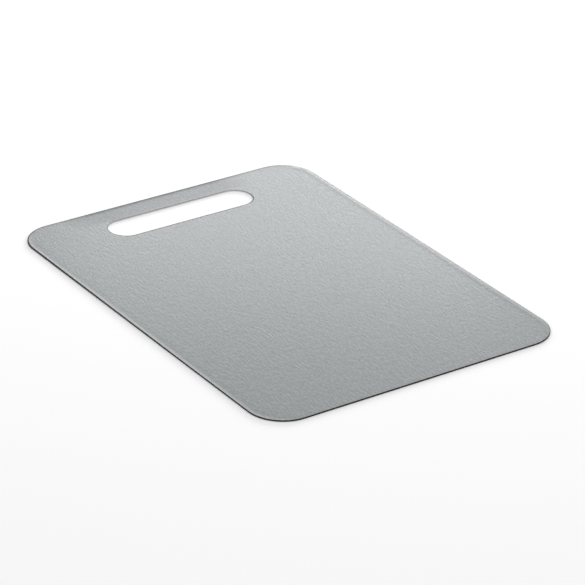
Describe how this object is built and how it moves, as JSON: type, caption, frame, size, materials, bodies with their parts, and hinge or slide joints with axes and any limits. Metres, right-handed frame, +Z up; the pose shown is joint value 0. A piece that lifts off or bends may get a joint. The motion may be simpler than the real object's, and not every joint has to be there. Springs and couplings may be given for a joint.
{
  "type": "flexible cutting mat",
  "caption": "Thin flexible cutting mat with round corners and a long finger slot at one end; both long sides curl up into a chute.",
  "frame": {"origin": "middle of the underside", "axes": "+X along the mat away from the finger slot, +Y across it from the front side to the back side, +Z up out of the cutting face"},
  "size_m": [0.29, 0.213, 0.001],
  "materials": {
    "cutting_face": "fine embossed grain, satin",
    "grip_backing": "matte"
  },
  "bodies": {
    "middle": {"cutting_face_middle": "cutting_face", "grip_backing_middle": "grip_backing"},
    "front_1": {"cutting_face_front_1": "cutting_face", "grip_backing_front_1": "grip_backing"},
    "front_2": {"cutting_face_front_2": "cutting_face", "grip_backing_front_2": "grip_backing"},
    "front_3": {"cutting_face_front_3": "cutting_face", "grip_backing_front_3": "grip_backing"},
    "front_4": {"cutting_face_front_4": "cutting_face", "grip_backing_front_4": "grip_backing"},
    "front_5": {"cutting_face_front_5": "cutting_face", "grip_backing_front_5": "grip_backing"},
    "back_1": {"cutting_face_back_1": "cutting_face", "grip_backing_back_1": "grip_backing"},
    "back_2": {"cutting_face_back_2": "cutting_face", "grip_backing_back_2": "grip_backing"},
    "back_3": {"cutting_face_back_3": "cutting_face", "grip_backing_back_3": "grip_backing"},
    "back_4": {"cutting_face_back_4": "cutting_face", "grip_backing_back_4": "grip_backing"},
    "back_5": {"cutting_face_back_5": "cutting_face", "grip_backing_back_5": "grip_backing"}
  },
  "joints": [
    {"name": "front_curl", "type": "hinge", "parent": "middle", "child": "front_1", "pos_m": [0, -0.057, 0.001], "axis": [-1, 0, 0], "range_deg": [0, 9], "stiffness_Nm_per_rad": 0.1},
    {"name": "front_curl_2", "type": "hinge", "parent": "front_1", "child": "front_2", "pos_m": [0, -0.0669, 0.001], "axis": [-1, 0, 0], "range_deg": [0, 18], "stiffness_Nm_per_rad": 0.05},
    {"name": "front_curl_3", "type": "hinge", "parent": "front_2", "child": "front_3", "pos_m": [0, -0.0768, 0.001], "axis": [-1, 0, 0], "range_deg": [0, 18], "stiffness_Nm_per_rad": 0.05},
    {"name": "front_curl_4", "type": "hinge", "parent": "front_3", "child": "front_4", "pos_m": [0, -0.0867, 0.001], "axis": [-1, 0, 0], "range_deg": [0, 18], "stiffness_Nm_per_rad": 0.05},
    {"name": "front_curl_5", "type": "hinge", "parent": "front_4", "child": "front_5", "pos_m": [0, -0.0966, 0.001], "axis": [-1, 0, 0], "range_deg": [0, 18], "stiffness_Nm_per_rad": 0.05},
    {"name": "back_curl", "type": "hinge", "parent": "middle", "child": "back_1", "pos_m": [0, 0.057, 0.001], "axis": [1, 0, 0], "range_deg": [0, 9], "stiffness_Nm_per_rad": 0.1},
    {"name": "back_curl_2", "type": "hinge", "parent": "back_1", "child": "back_2", "pos_m": [0, 0.0669, 0.001], "axis": [1, 0, 0], "range_deg": [0, 18], "stiffness_Nm_per_rad": 0.05},
    {"name": "back_curl_3", "type": "hinge", "parent": "back_2", "child": "back_3", "pos_m": [0, 0.0768, 0.001], "axis": [1, 0, 0], "range_deg": [0, 18], "stiffness_Nm_per_rad": 0.05},
    {"name": "back_curl_4", "type": "hinge", "parent": "back_3", "child": "back_4", "pos_m": [0, 0.0867, 0.001], "axis": [1, 0, 0], "range_deg": [0, 18], "stiffness_Nm_per_rad": 0.05},
    {"name": "back_curl_5", "type": "hinge", "parent": "back_4", "child": "back_5", "pos_m": [0, 0.0966, 0.001], "axis": [1, 0, 0], "range_deg": [0, 18], "stiffness_Nm_per_rad": 0.05}
  ],
  "couplings": [
    {"joint": "front_curl_2", "follows": "front_curl", "ratio": 2},
    {"joint": "front_curl_3", "follows": "front_curl", "ratio": 2},
    {"joint": "front_curl_4", "follows": "front_curl", "ratio": 2},
    {"joint": "front_curl_5", "follows": "front_curl", "ratio": 2},
    {"joint": "back_curl_2", "follows": "back_curl", "ratio": 2},
    {"joint": "back_curl_3", "follows": "back_curl", "ratio": 2},
    {"joint": "back_curl_4", "follows": "back_curl", "ratio": 2},
    {"joint": "back_curl_5", "follows": "back_curl", "ratio": 2}
  ]
}
